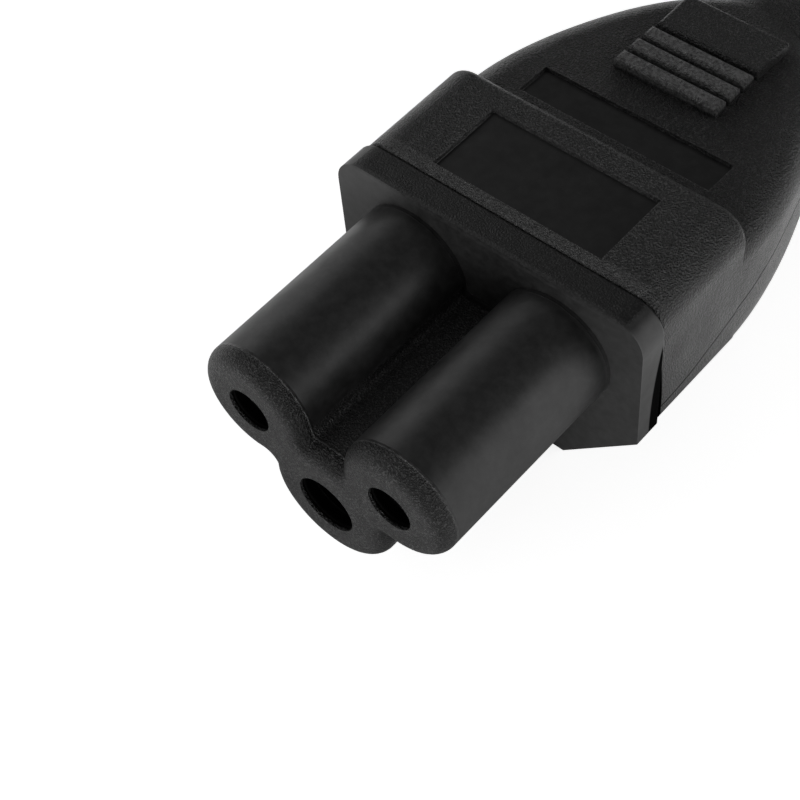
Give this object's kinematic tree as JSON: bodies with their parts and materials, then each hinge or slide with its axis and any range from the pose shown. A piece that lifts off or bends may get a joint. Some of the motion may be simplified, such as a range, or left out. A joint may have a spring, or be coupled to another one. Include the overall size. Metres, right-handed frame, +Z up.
{
  "type": "cloverleaf power cord",
  "caption": "Mains lead: a three-lobed cloverleaf appliance connector, a black flexible cord in a tied hank, and a round earthed mains plug.",
  "frame": {"origin": "on the floor under the middle of the connector", "axes": "+X across the connector, +Y from its nose towards the cord, +Z up from the side that it lies on"},
  "size_m": [0.0706, 0.2197, 0.0384],
  "materials": {
    "hard_plastic": "satin black hard plastic, grained on its front face",
    "soft_plastic": "black flexible plastic with a coarse spark grain",
    "cord_jacket": "black flexible cord jacket, smooth satin",
    "tie_cloth": "black woven hook-and-loop strap",
    "plug_plastic": "black flexible plastic with a spark grain",
    "plug_bridge_plastic": "satin black hard plastic",
    "earth_metal": "nickel-plated spring strip",
    "pin_metal": "nickel-plated turned brass",
    "contact_brass": "drawn brass",
    "core_brown": "brown core insulation",
    "core_blue": "blue core insulation",
    "core_green_yellow": "green and yellow core insulation",
    "copper": "bare stranded copper"
  },
  "bodies": {
    "root": {"connector_body": "soft_plastic", "connector_earth_conductor": "copper", "connector_earth_core": "core_green_yellow", "connector_insert": "hard_plastic", "connector_line_conductor": "copper", "connector_line_core": "core_brown", "connector_neutral_conductor": "copper", "connector_neutral_core": "core_blue", "cord_hank": "cord_jacket", "cord_lead": "cord_jacket", "cord_tail": "cord_jacket", "cord_tie": "tie_cloth", "earth_contact": "contact_brass", "line_contact": "contact_brass", "neutral_contact": "contact_brass", "plug_body": "plug_plastic", "plug_bridge": "plug_bridge_plastic", "plug_earth_conductor": "copper", "plug_earth_core": "core_green_yellow", "plug_earth_sleeve": "contact_brass", "plug_earth_strip": "earth_metal", "plug_line_conductor": "copper", "plug_line_core": "core_brown", "plug_line_pin": "pin_metal", "plug_neutral_conductor": "copper", "plug_neutral_core": "core_blue", "plug_neutral_pin": "pin_metal"}
  },
  "joints": []
}
